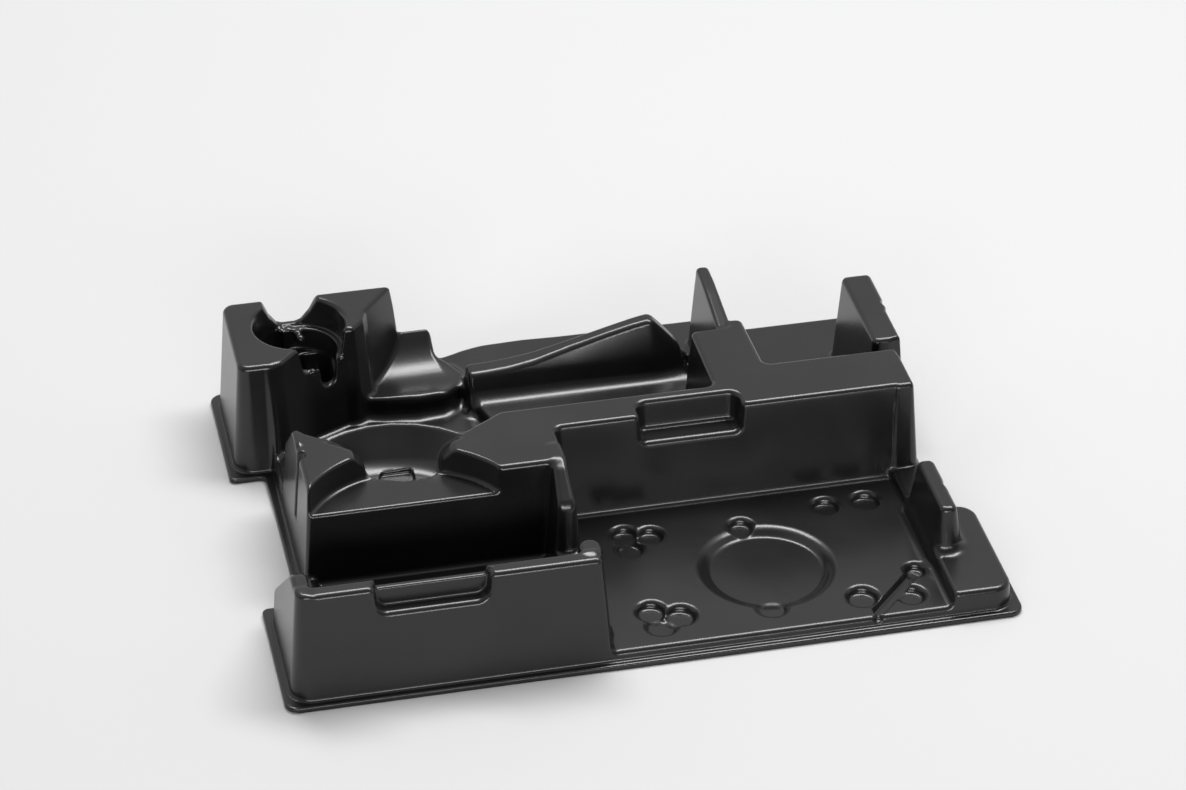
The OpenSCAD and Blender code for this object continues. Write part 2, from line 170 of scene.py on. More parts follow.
# The formed sheet. Millimetres; z from the ground, x from the middle to the right, y from the middle to the
# back. Outlines go anticlockwise as (x, y, corner radius); boxes are (x0, y0, x1, y1, corner radius). What
# ends in Reach is the box (x0, y0, x1, y1) that a shape can change. Rounds are the radii of edges and feet.
form = {
    "name": "formedSheet",
    # net of the surface: its step, its box (half x, half y, bottom, top), the triangles that are kept, and
    # how far from a point its slope is read
    "netStep": 0.95, "netBox": (192, 144, -2.9, 70.5), "triangles": 190000, "reach": 0.12,
    # how far a point may move onto the surface: from the net, after relaxing, after thinning
    "settle": (0.9, 0.6, 0.15),
    # sheet and rim, lean of the walls, round edges and feet, room that is worked out round a shape
    "wall": 2.0, "rimWidth": 380.0, "rimDepth": 284.0, "rimThick": 3.0, "rimEdge": 1, "rimFoot": 1.5,
    "lip": 4.0, "leftLip": 4.5, "draft": 0.08, "edge": 2.8, "foot": 2.8, "room": 5,
    # notches in the sides of the rim, and the small step in the right one
    "leftNotch": 19.0, "rightNotch": 15.5, "notchFront": -57.0, "notchBack": 58.5,
    "notchStep": 6.5, "stepFront": 25.0,
    # corner radii of the rim and of the walls; the walls lean in, so their outer corners start wide and
    # their inner corners tight
    "rimCorner": 7.0, "rimNotch": 3.5, "rimStep": 3, "wallOut": 11, "wallIn": 1.5, "wallStep": 5, "wallBack": 7,
    # shapes that the outer walls cut off start this far out
    "past": (200, 150), "wellPast": (210, 160), "pastNotch": 8, "overlap": 3,
    # heights
    "floor": 8.0, "channel": 15.0, "ledge": 15.7, "innerLedge": 13.7, "strip": 13, "lowWall": 13.0,
    "saddle": 22.0, "rib": 41.0, "blockTop": 60.0, "boxTop": 63.5, "shoulder": 64.0, "post": 67.0, "finTop": 68.6,
    # low steps on the floor
    "channelOutline": [(86, -6, 4), (86, 104, 4), (-52, 104, 4), (-52, 88, 4), (-47, 70, 6), (-38, -6, 6)],
    "ledgeX": (153.5, 169.5, 173.5), "innerLedgeBox": (153.5, -70, 182, 0, 4), "innerLedgeFoot": 1.5,
    "stripFront": 10, "stripRight": -157.4, "stripFoot": 2,
    "ribBox": (156.5, -98.4, 165.4, -53, 3.6), "ribLean": 0.15, "ribFoot": 5,
    # shoulder: bar, its right end, the hook to the back, the arc of the dished seat's block
    "bar": (-16.0, 19.0), "barEnd": 165, "barTip": (154, -17.0, 165.8, 14, 3), "noFoot": 0.01,
    "hook": [(92.5, 19.0, 5), (91.2, 64, 3.4), (84.5, 64.6, 2.4), (82.6, 58.6, 2.4), (61.8, 57.5, 3), (61.8, 5, 5),
             (-53, 5, 6)],
    "crest": (-118.0, -52.0, 58.6), "crestWall": 2, "crestArc": (45, 119, 6, 3),
    "seatCorner": (-160.5, 11.5, 4), "seatBack": 3,
    "notchBlock": (-4, 27), "notchSlope": ((10, 64.0), (28, 46)),
    # walls round the accessory box
    "boxRight": -28.4, "boxBack": -45.5, "frontWall": 9.6, "sideWall": 8.1, "sideSlope": ((-112, 64.0), (-62, 18.0)),
    "lowWallY": (-71, -38), "lowWallIn": 6, "divider": 7.6, "dividerY": (-66, -30),
    "dividerSlope": ((-66, 50.5), (-47, 64.0)), "saddleY": (-125, -56), "saddleOver": (2.5, 3),
    "cornerPost": (-37.5, -128, -26.6, -113.5, 5.4),
    # block and fin beside the back right bin
    "binBlock": (157, 32.8, 173.2, 99.4, 3),
    "finBox": (77.6, 40, 84.4, 112.5, 2.6), "finEdge": 2, "finSlope": ((62, 62.4), (97, 68.4)),
    # rear shelf, which falls towards the chute: height along x, front, ends
    "shelfLine": [(-80, 12.7), (-65, 12.7), (-57, 14.4), (-50, 16.7), (-39, 18.8), (-16, 19.5), (6, 18.8),
                  (92, 18.4), (110, 18.4)],
    "shelfEase": 5, "shelfFront": 101, "shelfEnds": (-72, 90), "shelfRounds": (2, 3),
    "shelfReach": (-78, 94, 96, 156),
    # wavy ridge: height along x, top edges in front and behind, toe of the front (y, z), lean of the back
    # with the length of (1, lean)
    "ridgeLine": [(-70, 28.6), (-53, 28.6), (-42, 28.8), (-30, 29.6), (-15, 31.6), (0, 35.2), (12, 38.2),
                  (25, 41.6), (40, 45.3), (48.5, 46.9), (51, 45.8), (57, 39), (66.2, 27.4), (67.2, 25), (70, 8),
                  (80, 2)],
    "ridgeEase": 2.4, "ridgeLeft": -53, "ridgeToe": (86.8, 15), "ridgeBackLean": (0.12, 1.007),
    "ridgeRounds": (2.3, 2.2, 5), "ridgeReach": (-61, 76, 84, 158),
    "ridgeFront": ([-53, -30, -15, 4, 25, 68], [93.6, 94, 95.1, 97, 97.6, 97.6]),
    "ridgeBack": ([-53, 0, 51, 68], [104.6, 105.6, 106.4, 106.4]),
    # chute: lip with its soft edge, slide, and the round hollow (y, z, radius)
    "lipOutline": [(-57, 100, 6), (-54, 110, 6), (-60, 124, 5), (-112, 124, 4), (-114, 104, 5), (-99, 93.4, 9),
                   (-82, 89.6, 12), (-66, 91.2, 9)],
    "lipTop": 20.6, "lipEdge": 4.5, "slideBox": (-120, 96, -67.4, 150, 3), "slideTop": 36, "slideEdge": 2.3,
    "hollow": (104.5, 54.3, 35.5), "chuteRounds": (7, 2.4, 6), "chuteReach": (-124, 78, -42, 158),
    # posts at the back left: front corners, then the side towards the chute
    "postFront": (-169, -163.5),
    "postOutline": [(-158, 69.5, 9), (-145, 83, 36), (-121, 94.4, 10), (-115.6, 94.2, 3), (-108.6, 102, 3),
                    (-106.2, 110.2, 4), (-88, 133, 3)],
    "postRight": -88,
    # upright disc seat and the dished seat behind it: a cone between splayed sides, and a flat basin
    "disc": (-112.5, -74.0, 57.3), "discFloor": 49.0, "discBack": -62, "discLean": 0.05, "discRounds": (2.2, 1.6),
    "dishFloor": 46.5, "coneLean": (0.85, 1.312), "coneIn": 0.8, "sidesIn": 6.8,
    "dishSides": [(-82.8, -70, 1), (-82.5, -16.9, 3), (-58, -5, 1), (-58, 20, 1), (-174, 20, 1), (-134.8, -13.1, 3),
                  (-134.4, -70, 1)],
    "basin": [(-89.4, -11, 1), (-126, -11, 1), (-125.6, -18.8, 2), (-109, -25.5, 12), (-96.5, -24.7, 5),
              (-89.4, -20.6, 1)],
    "hub": (-111.8, -18.3, 9.0), "hubDeep": 1.7, "hubIn": 2, "hubEdge": 0.8,
    "dishRounds": (5, 1.5, 2, 1.6), "dishReach": (-158, -38, -60, 18),
    # finger scoop in the front wall, with the cut behind it, and the grip in the bar
    "scoop": (-142.5, -84.5), "scoopFloor": 48.5, "scoopBack": -126.8, "scoopRounds": (6, 1.2),
    "scoopReach": (-150.5, -158, -76.5, -118), "scoopCut": (-141.5, -136, -85.5, -110, 2), "scoopCutFloor": 59,
    "scoopCutTop": 65.0, "scoopCutRounds": (1, 1.1),
    "grip": (17.0, -30, 72.0, -2.8, 6), "gripFloor": 47.5, "gripRound": 2.6,
    # groove in the left notch's wall
    "groove": (-12.5, 2.9, 25), "grooveOut": 0.6, "grooveRounds": (1, 1.2), "grooveReach": (-175.5, -23, -153.5, -2),
    # gear seat between the posts: ledge, hole, necks to the front and the well of the spindle
    "gear": (-143.0, 106.0, 24.8), "gearFloor": 37.0, "gearLedge": 50, "gearHole": 19.9, "holeLeft": -150,
    "neckWide": (-142.4, 60, -124, 106, 2), "neckWideFloor": 49.3, "neckLow": (-136.5, 60, -124.2, 106, 3),
    "neckLowFloor": 36.4, "spindle": (-146, 91.5, -126, 121, 8), "spindleTop": 39, "spindleFloor": 16,
    "gearRoom": 6,
    # radii of the floor's corner and of the rim
    "gearRounds": {"ledge": (1, 2.4), "hole": (2, 1), "neckWide": (1.5, 1.6), "neckLow": (4, 1.6), "spindle": (3, 1.4)},
    "knobFoot": 1, "knobRoom": 4,
    "knobs": [(-151, 128.4, 49.2, 2), (-146, 127.8, 49, 2.2), (-141.6, 124.8, 47.6, 2.4), (-140.5, 121.2, 46.2, 2.5),
              (-139.3, 84.6, 48.6, 1.8), (-122.8, 91.4, 50.4, 1.8)],
    # notch through the back of the posts: height along x
    "gearBack": ([-165, -163, -159.5, -156, -152, -149, -142, -138.6, -134, -129.4, -126, -124],
                 [90, 80, 67, 58, 52.2, 51, 51, 52.2, 58, 67, 80, 90]),
    "gearBackY": 116, "gearBackLean": 0.42, "gearBackEdge": 1.5, "gearBackReach": (-167, 114, -122, 162),
    # round hollows on the rib and on the block (x, y, radius, top); the shape of a hollow is its lean, the
    # round of its floor and the round of its rim
    "sideHollows": [(168.6, -75, 3.6, 41.0), (175.4, 70, 3.6, 60.0)], "sideHollowFloor": 22,
    "sideHollowShape": (0.05, 2, 1.6),
    # tray: round recess (x, y, radius, radius of its flat), dimples (x, y, radius), nick, oblique slot
    "recess": (69.0, -82.8, 34.5, 29.4), "trayDeep": 4.0, "recessSteep": 0.9, "recessRounds": (1, 1.5),
    "dimples": [(3.4, -40.6, 7), (16.4, -43.8, 6.8), (3.6, -52.6, 7), (2.2, -107.3, 7.4), (16, -113.7, 7.8),
                (4.8, -119.8, 7.8), (112.4, -38, 7), (134.3, -37.8, 7.4), (110.3, -118.3, 7.8), (135.2, -122, 7),
                (64.4, -46, 6.4), (63.2, -116.8, 7.6), (143, -102, 5.2)],
    "dimpleGrow": 0.4, "dimpleShape": (0.35, 1.2, 2.1),
    "nick": (113.6, -137.4, 2.6), "nickFloor": 5, "nickShape": (0.3, 1, 1),
    "slotRounds": (1, 1),
    "slot": [(112.6, -134.4, 1.2), (117.4, -134.4, 1.2), (146.2, -103.6, 1.2), (142, -98.8, 1.2), (112.6, -129.4, 1.2)],
}


def raiseBlock(f, corners, top, foot=None, lean=None, edge=None, slopes=()):
    # a block on an outline given at its top, which grows downwards by the lean, cut by the slopes
    lean = form["draft"] if lean is None else lean
    edge = form["edge"] if edge is None else edge
    foot = form["foot"] if foot is None else foot

    def change(v, x, y, z):
        block = roundMeet((outlineDistance(corners, x, y) - lean * (top - z)) / math.hypot(1, lean), z - top, edge)
        for slope in slopes:
            block = roundMeet(block, slope(x, y, z), edge)
        return roundUnion(v, block, foot)

    f.apply(boxOf(corners, lean * top + foot + form["room"]), change)


def sinkPocket(f, corners, top, floor, soft, rim=None):
    # a pocket on an outline given at its top, which narrows downwards by the draft; soft rounds the corner
    # of its floor
    lean = form["draft"]
    rim = form["edge"] if rim is None else rim

    def change(v, x, y, z):
        walls = (outlineDistance(corners, x, y) + lean * (top - z)) / math.hypot(1, lean)
        return roundMeet(v, -roundMeet(walls, floor - z, soft), rim)

    f.apply(boxOf(corners, rim + form["room"]), change)


def sinkRound(f, cx, cy, r, top, floor, lean, soft, rim, limit=None):
    # a round pocket with its radius given at the top, which narrows downwards by the lean; soft rounds the
    # corner of its floor, and only what lies inside the limit is cut
    def change(v, x, y, z):
        pocket = roundMeet((np.hypot(x - cx, y - cy) - r + lean * (top - z)) / math.hypot(1, lean), floor - z, soft)
        if limit:
            pocket = np.maximum(pocket, limit(x, y, z))
        return roundMeet(v, -pocket, rim)

    f.apply(boxOf([(cx - r, cy - r), (cx + r, cy + r)], rim + form["room"]), change)


def plan():
    # outlines of the rim and of the feet of the walls that stand on it
    o = form
    halfX, halfY = o["rimWidth"] / 2, o["rimDepth"] / 2
    footX, footY = halfX - o["lip"], halfY - o["lip"]
    leftIn, rightIn = -halfX + o["leftNotch"] + o["leftLip"], halfX - o["rightNotch"] - o["lip"]
    notchA, notchB = o["notchFront"] - o["lip"], o["notchBack"] + o["lip"]
    stepFront, stepX = o["stepFront"] + o["lip"], rightIn + o["notchStep"]
    wide, tight = o["wallOut"], o["wallIn"]
    walls = [
        (footX, -footY, wide), (footX, notchA, wide), (rightIn, notchA, tight), (rightIn, stepFront, tight),
        (stepX, stepFront, o["wallStep"]), (stepX, notchB, tight), (footX, notchB, o["wallBack"]),
        (footX, footY, wide), (-footX, footY, wide), (-footX, notchB, wide), (leftIn, notchB, tight),
        (leftIn, notchA, tight), (-footX, notchA, wide), (-footX, -footY, wide),
    ]
    rimLeft, rimRight = -halfX + o["leftNotch"], halfX - o["rightNotch"]
    rimStep = rimRight + o["notchStep"]
    c, n, s = o["rimCorner"], o["rimNotch"], o["rimStep"]
    rim = [
        (halfX, -halfY, c), (halfX, o["notchFront"], n), (rimRight, o["notchFront"], n), (rimRight, o["stepFront"], s),
        (rimStep, o["stepFront"], s), (rimStep, o["notchBack"], s), (halfX, o["notchBack"], n), (halfX, halfY, c),
        (-halfX, halfY, c), (-halfX, o["notchBack"], n), (rimLeft, o["notchBack"], n), (rimLeft, o["notchFront"], n),
        (-halfX, o["notchFront"], n), (-halfX, -halfY, c),
    ]
    return {"walls": walls, "rim": rim, "footX": footX, "footY": footY, "leftIn": leftIn, "notchA": notchA,
            "notchB": notchB}


def lowSteps(f, p):
    # floor of the tool channel, side ledge with its lower inner part, strip in the left notch, tapered rib
    o = form
    farX, farY = o["past"]
    x0, x1, x2 = o["ledgeX"]
    ledgeBack, cutBack = p["notchA"] - o["draft"] * o["ledge"], p["notchA"] + o["overlap"]
    raiseBlock(f, o["channelOutline"], o["channel"])
    raiseBlock(f, [(farX, -farY, 4), (farX, cutBack, 1), (x2, cutBack, 1), (x1, ledgeBack, 2), (x0, ledgeBack, 4),
                   (x0, -farY, 4)], o["ledge"])
    raiseBlock(f, rect(*o["innerLedgeBox"]), o["innerLedge"], foot=o["innerLedgeFoot"])
    stripLeft, stripBack = p["leftIn"] - o["pastNotch"], p["notchB"] + 2 * o["overlap"]
    raiseBlock(f, rect(stripLeft, o["stripFront"], o["stripRight"], stripBack, 3), o["strip"], foot=o["stripFoot"])
    raiseBlock(f, rect(*o["ribBox"]), o["rib"], lean=o["ribLean"], foot=o["ribFoot"])


def shoulderBlock(f, p):
    # bar, hook to the back and block of the disc seats in one, then the bar's tip and the slope in the notch
    o = form
    cx, cy, cr = o["crest"]
    front, back = o["bar"]
    left, right = p["leftIn"] - o["pastNotch"], o["boxRight"]
    raiseBlock(f, [(o["barEnd"], front, 5), (o["barEnd"], back, 4), *o["hook"],
                   *arc(cx, cy, cr + o["crestWall"], *o["crestArc"]), o["seatCorner"], (left, o["seatBack"], 3),
                   (left, o["boxBack"], 3), (right, o["boxBack"], 3), (right, front, 4)], o["shoulder"])
    raiseBlock(f, rect(*o["barTip"]), o["shoulder"], foot=o["noFoot"])
    y0, y1 = o["notchBlock"]
    raiseBlock(f, rect(left, y0, o["stripRight"], y1, 2), o["shoulder"], slopes=[belowLine(*o["notchSlope"])])


def boxWalls(f, p):
    # front wall, left wall with its slope, low wall in the notch, saddle, divider, post at the front corner
    o = form
    farX, farY = o["wellPast"]
    lean = o["draft"] * (o["shoulder"] - o["rimThick"])
    front, left, right = -p["footY"] + lean, -p["footX"] + lean, o["boxRight"]
    raiseBlock(f, rect(-farX, -farY, right, front + o["frontWall"], 4), o["boxTop"])
    raiseBlock(f, rect(-farX, -farY, left + o["sideWall"], p["notchA"] + o["overlap"], 3.5), o["boxTop"],
               slopes=[belowLine(*o["sideSlope"])])
    lowOut, lowIn = p["leftIn"] - o["pastNotch"], p["leftIn"] + o["lowWallIn"]
    y0, y1, y2 = p["notchA"] + 2 * o["overlap"], *o["lowWallY"]
    raiseBlock(f, [(-o["past"][0], y0, 3), (-o["past"][0], y1, 3), (lowIn, y1, 3), (lowIn, y2, 3), (lowOut, y2, 3),
                   (lowOut, y0, 3)], o["lowWall"])
    dividerLeft = right - o["divider"]
    overLeft, overRight = o["saddleOver"]
    raiseBlock(f, rect(dividerLeft - overLeft, o["saddleY"][0], right + overRight, o["saddleY"][1], 3), o["saddle"])
    raiseBlock(f, rect(dividerLeft, o["dividerY"][0], right, o["dividerY"][1], 2.6), o["shoulder"],
               slopes=[belowLine(*o["dividerSlope"])])
    raiseBlock(f, rect(*o["cornerPost"]), o["boxTop"])


def binBlocks(f, p):
    # block and fin beside the back right bin
    o = form
    raiseBlock(f, rect(*o["binBlock"]), o["blockTop"])
    raiseBlock(f, rect(*o["finBox"]), o["finTop"], edge=o["finEdge"], slopes=[belowLine(*o["finSlope"])])


def rearShelf(f, p):
    # what lies below the eased height line, behind the shelf's front
    o = form
    at, high, slope = easedCurve(o["shelfLine"], o["shelfEase"])
    x0, x1 = o["shelfEnds"]
    edge, foot = o["shelfRounds"]

    def change(v, x, y, z):
        shelf = (z - np.interp(x, at, high)) / np.hypot(1, np.interp(x, at, slope))
        shelf = roundMeet(shelf, o["shelfFront"] - y, edge)
        shelf = roundMeet(shelf, np.maximum(x0 - x, x - x1), edge)
        return roundUnion(v, shelf, foot)

    f.apply(o["shelfReach"], change)


def waveRidge(f, p):
    # below the wavy height line, behind a front that leans back from its toe, before a steeper back
    o = form
    at, high, slopes = easedCurve(o["ridgeLine"], o["ridgeEase"])
    toeY, toeZ = o["ridgeToe"]
    backLean, backLength = o["ridgeBackLean"]
    edge, backEdge, foot = o["ridgeRounds"]

    def change(v, x, y, z):
        h = np.interp(x, at, high)
        slope = (np.interp(x, *o["ridgeFront"]) - toeY) / (h - toeZ)
        lead = (toeY + slope * (z - toeZ) - y) / np.hypot(1, slope)
        rise = (z - h) / np.hypot(1, np.interp(x, at, slopes))
        body = roundMeet(rise, lead, edge)
        body = roundMeet(body, (y - np.interp(x, *o["ridgeBack"]) - backLean * (h - z)) / backLength, backEdge)
        body = roundMeet(body, o["ridgeLeft"] - o["draft"] * (h - z) - x, edge)
        return roundUnion(v, body, foot)

    f.apply(o["ridgeReach"], change)


def chuteAndLip(f, p):
    # a soft lip and the block of the slide, both hollowed by a cylinder that runs from left to right
    o = form
    draft, lipTop, slideTop = o["draft"], o["lipTop"], o["slideTop"]
    hy, hz, hr = o["hollow"]
    between, edge, foot = o["chuteRounds"]

    def change(v, x, y, z):
        lip = outlineDistance(o["lipOutline"], x, y) - draft * (lipTop - z)
        lip = roundMeet(lip, z - lipTop, o["lipEdge"])
        slide = outlineDistance(rect(*o["slideBox"]), x, y) - draft * (slideTop - z)
        body = roundUnion(lip, roundMeet(slide, z - slideTop, o["slideEdge"]), between)
        return roundUnion(v, roundMeet(body, hr - np.hypot(y - hy, z - hz), edge), foot)

    f.apply(o["chuteReach"], change)


def backPosts(f, p):
    # both posts in one block, which the gear seat then divides
    o = form
    farX, farY = o["wellPast"]
    x0, x1 = o["postFront"]
    front, lean = p["notchB"], o["draft"] * (o["post"] - o["rimThick"])
    raiseBlock(f, [(-farX, farY, 6), (-farX, front - o["overlap"], 4), (x0, front - o["overlap"], 2),
                   (x1, front + lean, 3), *o["postOutline"], (o["postRight"], farY, 3)], o["post"])


def discSeat(f, p):
    # part of an upright drum, up to the plane where the dished seat starts
    o = form
    dx, dy, dr = o["disc"]
    sinkRound(f, dx, dy, dr, o["shoulder"], o["discFloor"], o["discLean"], *o["discRounds"],
              limit=lambda x, y, z: o["discBack"] - y)


def dishedSeat(f, p):
    # a cone between splayed sides, in front of it the flat of the basin with the hub's dimple
    o = form
    top, floor = o["shoulder"], o["dishFloor"]
    cx, cy, cr = o["crest"]
    dx, dy, dr = o["disc"]
    hx, hy, hr = o["hub"]
    lean, length = o["coneLean"]
    floorRound, sideRound, between, edgeRound = o["dishRounds"]
    hubEdge = o["hubEdge"]

    def change(v, x, y, z):
        cone = (np.hypot(x - cx, y - cy) - cr + o["coneIn"] + lean * (top - z)) / length
        cone = roundMeet(cone, floor - z, floorRound)
        across = outlineDistance(o["dishSides"], x, y)
        splay = roundUnion(across + o["sidesIn"], (across + lean * (top - z)) / length, sideRound)
        cut = roundMeet(cone, splay, between)
        basin = outlineDistance(o["basin"], x, y)
        cut = roundMeet(cut, roundUnion(dr - np.hypot(x - dx, y - dy), basin, between), hubEdge)
        hub = roundMeet(np.hypot(x - hx, y - hy) - hr, floor - o["hubDeep"] - z, hubEdge)
        hub = roundMeet(hub, basin + o["hubIn"], hubEdge)
        return roundMeet(roundMeet(v, -cut, edgeRound), -hub, hubEdge)

    f.apply(o["dishReach"], change)


def fingerScoop(f, p):
    # a cut with wide floor corners through the front wall, then a lower place in the wall behind it
    o = form
    x0, x1 = o["scoop"]
    corner, backEdge = o["scoopRounds"]

    def change(v, x, y, z):
        across = abs(x - (x0 + x1) / 2) - (x1 - x0) / 2 + o["draft"] * (o["boxTop"] - z)
        cut = roundMeet(roundMeet(across, o["scoopFloor"] - z, corner), y - o["scoopBack"], backEdge)
        return roundMeet(v, -cut, o["edge"])

    f.apply(o["scoopReach"], change)
    sinkPocket(f, rect(*o["scoopCut"]), o["scoopCutTop"], o["scoopCutFloor"], *o["scoopCutRounds"])


def barGrip(f, p):
    # a pocket in the top of the bar, open to the front
    o = form
    sinkPocket(f, rect(*o["grip"]), o["shoulder"], o["gripFloor"], o["gripRound"])


def notchGroove(f, p):
    # a round slot that follows the lean of the left notch's wall
    o = form
    y0, r, floor = o["groove"]
    bottomRound, rim = o["grooveRounds"]
    leftIn = p["leftIn"]

    def change(v, x, y, z):
        slot = np.hypot(x - (leftIn + o["grooveOut"] + o["draft"] * z), y - y0) - r
        return roundMeet(v, -roundMeet(slot, floor - z, bottomRound), rim)

    f.apply(o["grooveReach"], change)


def gearSeat(f, p):
    # a round seat with a ledge, a deeper hole in it, two necks to the front and the well of the spindle
    o = form
    gx, gy, gr = o["gear"]
    floor, top, wellTop, rounds = o["gearFloor"], o["post"], o["spindleTop"], o["gearRounds"]

    def boxCut(name, x, y, z, height, bottom):
        walls = outlineDistance(rect(*o[name]), x, y) + o["draft"] * (height - z)
        return roundMeet(walls, bottom - z, rounds[name][0])

    def change(v, x, y, z):
        far = np.hypot(x - gx, y - gy)
        seat = far - gr + o["draft"] * (top - z)
        holeRound = rounds["hole"][0]
        hole = roundMeet(far - o["gearHole"], floor - z, holeRound)
        cuts = {
            "ledge": roundMeet(seat, o["gearLedge"] - z, rounds["ledge"][0]),
            "hole": np.minimum(hole, np.maximum(roundMeet(seat, floor - z, holeRound), x - o["holeLeft"])),
            "neckWide": boxCut("neckWide", x, y, z, top, o["neckWideFloor"]),
            "neckLow": boxCut("neckLow", x, y, z, top, o["neckLowFloor"]),
            "spindle": np.maximum(boxCut("spindle", x, y, z, wellTop, o["spindleFloor"]), z - wellTop),
        }
        for name, cut in cuts.items():
            v = roundMeet(v, -cut, rounds[name][1])
        return v

    f.apply(boxOf([(gx - gr, o["neckWide"][1]), (gx + gr, gy + gr)], o["gearRoom"]), change)
    for knob in o["knobs"]:
        addKnob(f, *knob)


def addKnob(f, cx, cy, cz, r):
    # a small ball that grows out of the seat
    def change(v, x, y, z):
        ball = np.sqrt((x - cx) ** 2 + (y - cy) ** 2 + (z - cz) ** 2) - r
        return roundUnion(v, ball, form["knobFoot"])

    f.apply(boxOf([(cx - r, cy - r), (cx + r, cy + r)], form["knobRoom"]), change)


def postSaddle(f, p):
    # everything above a line that dips between the posts, at the back
    o = form

    def change(v, x, y, z):
        low = np.interp(x, *o["gearBack"])
        cut = np.maximum((low - z) * o["gearBackLean"], o["gearBackY"] - y)
        return roundMeet(v, -cut, o["gearBackEdge"])

    f.apply(o["gearBackReach"], change)


def smallHollows(f, p):
    # round hollows in the right sides, then recess, dimples, nick and slot in the tray's floor
    o = form
    for cx, cy, r, top in o["sideHollows"]:
        sinkRound(f, cx, cy, r, top, o["sideHollowFloor"], *o["sideHollowShape"])
    rx, ry, rr, flat = o["recess"]
    top, deep = o["floor"], o["trayDeep"]
    low = top - deep
    sinkRound(f, rx, ry, rr, top, low, (rr - flat) / deep * o["recessSteep"], *o["recessRounds"])
    for cx, cy, r in o["dimples"]:
        sinkRound(f, cx, cy, r + o["dimpleGrow"], top, low, *o["dimpleShape"])
    sinkRound(f, *o["nick"], top, o["nickFloor"], *o["nickShape"])
    sinkPocket(f, o["slot"], top, low, *o["slotRounds"])


raised = (lowSteps, shoulderBlock, boxWalls, binBlocks, rearShelf, waveRidge, chuteAndLip, backPosts)
sunk = (discSeat, dishedSeat, fingerScoop, barGrip, notchGroove, gearSeat, postSaddle, smallHollows)


def insertField(x, y, z, grid):
    # floor and raised shapes, cut by the outer walls, less the sunk shapes, joined with the rim's plate;
    # the open underside is the same form one sheet thickness further in
    o = form
    p = plan()
    f = Field(x, y, z, grid)
    f.value -= o["floor"]
    for shape in raised:
        shape(f, p)
    outer = outlineDistance(p["walls"], x, y) + o["draft"] * (z - o["rimThick"])
    f.value = roundMeet(f.value, outer, o["edge"])
    for shape in sunk:
        shape(f, p)
    plate = roundMeet(outlineDistance(p["rim"], x, y), z - o["rimThick"], o["rimEdge"])
    shell = roundUnion(f.value, plate, o["rimFoot"])
    return np.maximum(shell, -z), f.value + o["wall"]


def surfaceNet(value, origin, step, leave, layer):
    # one vertex in each cell that the surface crosses, at the mean of its crossings, and one square round
    # each crossed edge of the grid; the squares at the ground are left out where asked
    inside = value < 0
    count = np.zeros([n - 1 for n in value.shape], np.int8)
    corners = [(i, j, k) for i in (0, 1) for j in (0, 1) for k in (0, 1)]
    for i, j, k in corners:
        count += inside[i:inside.shape[0] - 1 + i, j:inside.shape[1] - 1 + j, k:inside.shape[2] - 1 + k]
    active = (count > 0) & (count < 8)
    cells = np.argwhere(active)
    index = np.full(count.shape, -1, np.int32)
    index[active] = np.arange(len(cells))
    held = {c: value[cells[:, 0] + c[0], cells[:, 1] + c[1], cells[:, 2] + c[2]] for c in corners}
    total, hits = np.zeros((len(cells), 3)), np.zeros(len(cells))
    for a in corners:
        for axis in range(3):
            if a[axis] == 0:
                b = tuple(1 if n == axis else a[n] for n in range(3))
                va, vb = held[a], held[b]
                crossed = (va < 0) != (vb < 0)
                t = np.where(crossed, va / np.where(crossed, va - vb, 1), 0)
                point = np.array(a, float)[None] + t[:, None] * (np.array(b) - np.array(a))[None]
                total += point * crossed[:, None]
                hits += crossed
    points = (cells + total / hits[:, None]) * step + origin
    quads = []
    for axis in range(3):
        u, v = (axis + 1) % 3, (axis + 2) % 3
        here = [slice(1, -1)] * 3
        there = [slice(1, -1)] * 3
        here[axis], there[axis] = slice(0, -1), slice(1, None)
        a, b = inside[tuple(here)], inside[tuple(there)]
        for flip, mask in ((False, a & ~b), (True, ~a & b)):
            if axis == 2:
                mask = mask.copy()
                mask[:, :, layer] &= ~leave[1:-1, 1:-1]
            p = np.argwhere(mask)
            p += np.array([0 if n == axis else 1 for n in range(3)])
            du, dv = np.eye(3, dtype=int)[u], np.eye(3, dtype=int)[v]
            ring = [p - du - dv, p - dv, p, p - du]
            quad = np.stack([index[r[:, 0], r[:, 1], r[:, 2]] for r in ring], 1)
            quads.append(quad[:, ::-1] if flip else quad)
    return points, np.concatenate(quads), index[:, :, layer]


def twoSkins(outer, inner, origin, step, layer):
    # outer and inner skin as nets of their own, which share their vertices where they meet at the ground
    under = np.maximum(inner, -(origin[2] + step * np.arange(inner.shape[2], dtype=np.float32)))
    points, quads, ground = surfaceNet(outer, origin, step, under[:, :, layer + 1] < 0, layer)
    more, within, inGround = surfaceNet(under, origin, step, np.ones(inner.shape[:2], bool), layer)
    shared = (ground >= 0) & (inGround >= 0)
    number = np.arange(len(more)) + len(points)
    number[inGround[shared]] = ground[shared]
    points[ground[shared]] = more[inGround[shared]]
    points = np.concatenate([points, more])
    quads = np.concatenate([quads, number[within][:, ::-1]])
    used, quads = np.unique(quads, return_inverse=True)
    return points[used], quads.reshape(-1, 4)


def slopeAt(points, reach):
    # direction in which the distance grows, from the four corners of a small tetrahedron, the distance at
    # each point and the steepness
    total = np.zeros_like(points)
    mean = np.zeros(len(points))
    for way in ((1, -1, -1), (-1, -1, 1), (-1, 1, -1), (1, 1, 1)):
        way = np.array(way, float)
        q = points + way * reach
        value, inner = insertField(q[:, 0], q[:, 1], q[:, 2], False)
        value = np.maximum(value, -inner)
        total += value[:, None] * way
        mean += value / 4
    slope = total / (4 * reach)
    size = np.maximum(np.linalg.norm(slope, axis=1), 1e-6)
    return slope / size[:, None], mean, size


